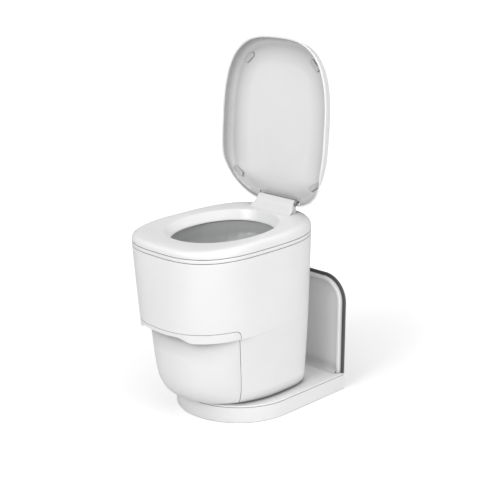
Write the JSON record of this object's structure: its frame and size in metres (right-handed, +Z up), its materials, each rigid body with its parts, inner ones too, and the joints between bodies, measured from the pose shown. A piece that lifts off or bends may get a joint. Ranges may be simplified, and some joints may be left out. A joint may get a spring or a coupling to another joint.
{
  "type": "waterless sealing toilet",
  "caption": "Free-standing dry toilet with a raised dished lid, oval seat, film-lined bowl, sealing jaws and a pull-out waste drawer, on a half-round swivel base with a rear splash shield.",
  "frame": {"origin": "on the floor, on the swivel axis, the centre of the four floor screws", "axes": "+Z up along the swivel axis; the front of the toilet and the drawer face -Y, the lid hinge and the splash shield are at +Y; +X is the user's left when seated"},
  "size_m": [0.368, 0.53, 0.9606],
  "materials": {
    "white_shell": "glossy, moulded",
    "dark_plastic": "fine grain, moulded",
    "grey_plastic": "satin, moulded",
    "plated_steel": "zinc plated",
    "light_alloy": "satin",
    "soft_rubber": "soft, matt",
    "film": "thin film, satin"
  },
  "bodies": {
    "base": {"base_plate": "white_shell", "back_panel": "white_shell", "wall_spacer": "dark_plastic", "panel_screws": "plated_steel", "power_inlet": "dark_plastic", "bearing_lower": "grey_plastic", "pivot_tube": "plated_steel", "pivot_nut": "plated_steel"},
    "housing": {"housing_shell": "white_shell", "rim_frame": "white_shell", "chassis_pan": "dark_plastic", "bearing_upper": "grey_plastic", "pivot_bush": "dark_plastic", "chassis_columns": "plated_steel", "mechanism_deck": "light_alloy", "sealing_frame": "light_alloy", "bowl_funnel": "grey_plastic", "funnel_posts": "plated_steel", "liner_cassette": "grey_plastic", "liner_film": "film", "fixed_jaw": "light_alloy", "jaw_guide_rods": "plated_steel", "seal_motor": "dark_plastic", "motor_bracket": "plated_steel", "feed_motor": "dark_plastic", "control_box": "dark_plastic", "drawer_rails": "plated_steel", "seat_hinge_pins": "plated_steel"},
    "seat": {"seat": "white_shell"},
    "lid": {"lid": "white_shell", "lid_knuckle": "grey_plastic", "lid_hinge_pin": "plated_steel", "lid_buffers": "soft_rubber"},
    "drawer": {"drawer_front": "white_shell", "drawer_cradle": "plated_steel", "waste_bin": "dark_plastic"},
    "slide_middle": {"drawer_slide_middles": "plated_steel"},
    "moving_jaw": {"moving_jaw": "light_alloy", "jaw_racks": "dark_plastic"},
    "jaw_shaft": {"jaw_shaft": "plated_steel", "jaw_pinions": "dark_plastic", "reduction_gear": "grey_plastic"},
    "motor_pinion": {"motor_pinion": "plated_steel"},
    "front_roller": {"front_feed_roller": "soft_rubber", "front_roller_shaft": "plated_steel"},
    "rear_roller": {"rear_feed_roller": "soft_rubber", "rear_roller_shaft": "plated_steel"}
  },
  "joints": [
    {"name": "swivel", "type": "hinge", "parent": "base", "child": "housing", "pos_m": [0, 0, 0.05], "axis": [0, 0, 1], "range_deg": [-90, 90]},
    {"name": "seat_lift", "type": "hinge", "parent": "housing", "child": "seat", "pos_m": [0, 0.1896, 0.4724], "axis": [-1, 0, 0], "range_deg": [0, 45]},
    {"name": "lid_hinge", "type": "hinge", "parent": "seat", "child": "lid", "pos_m": [0, 0.148, 0.528], "axis": [1, 0, 0], "range_deg": [0, 93.2]},
    {"name": "drawer_slide", "type": "slide", "parent": "housing", "child": "drawer", "axis": [0, -1, 0], "range_m": [0, 0.26]},
    {"name": "middle_slide", "type": "slide", "parent": "housing", "child": "slide_middle", "axis": [0, -1, 0], "range_m": [0, 0.13]},
    {"name": "jaw_slide", "type": "slide", "parent": "housing", "child": "moving_jaw", "axis": [0, 1, 0], "range_m": [0, 0.0595]},
    {"name": "jaw_turn", "type": "hinge", "parent": "housing", "child": "jaw_shaft", "pos_m": [0, 0.015, 0.317], "axis": [1, 0, 0], "range_deg": [0, 285]},
    {"name": "motor_turn", "type": "hinge", "parent": "housing", "child": "motor_pinion", "pos_m": [0, 0.042, 0.317], "axis": [1, 0, 0], "range_deg": [-570, 0]},
    {"name": "front_roller_turn", "type": "hinge", "parent": "housing", "child": "front_roller", "pos_m": [0, -0.0715, 0.29], "axis": [1, 0, 0], "continuous": true},
    {"name": "rear_roller_turn", "type": "hinge", "parent": "housing", "child": "rear_roller", "pos_m": [0, -0.0465, 0.29], "axis": [1, 0, 0], "continuous": true}
  ],
  "couplings": [
    {"joint": "middle_slide", "follows": "drawer_slide", "ratio": 0.5},
    {"joint": "jaw_turn", "follows": "jaw_slide", "rad_per_m": 83.333},
    {"joint": "motor_turn", "follows": "jaw_slide", "rad_per_m": -166.67},
    {"joint": "rear_roller_turn", "follows": "front_roller_turn", "ratio": -1}
  ]
}
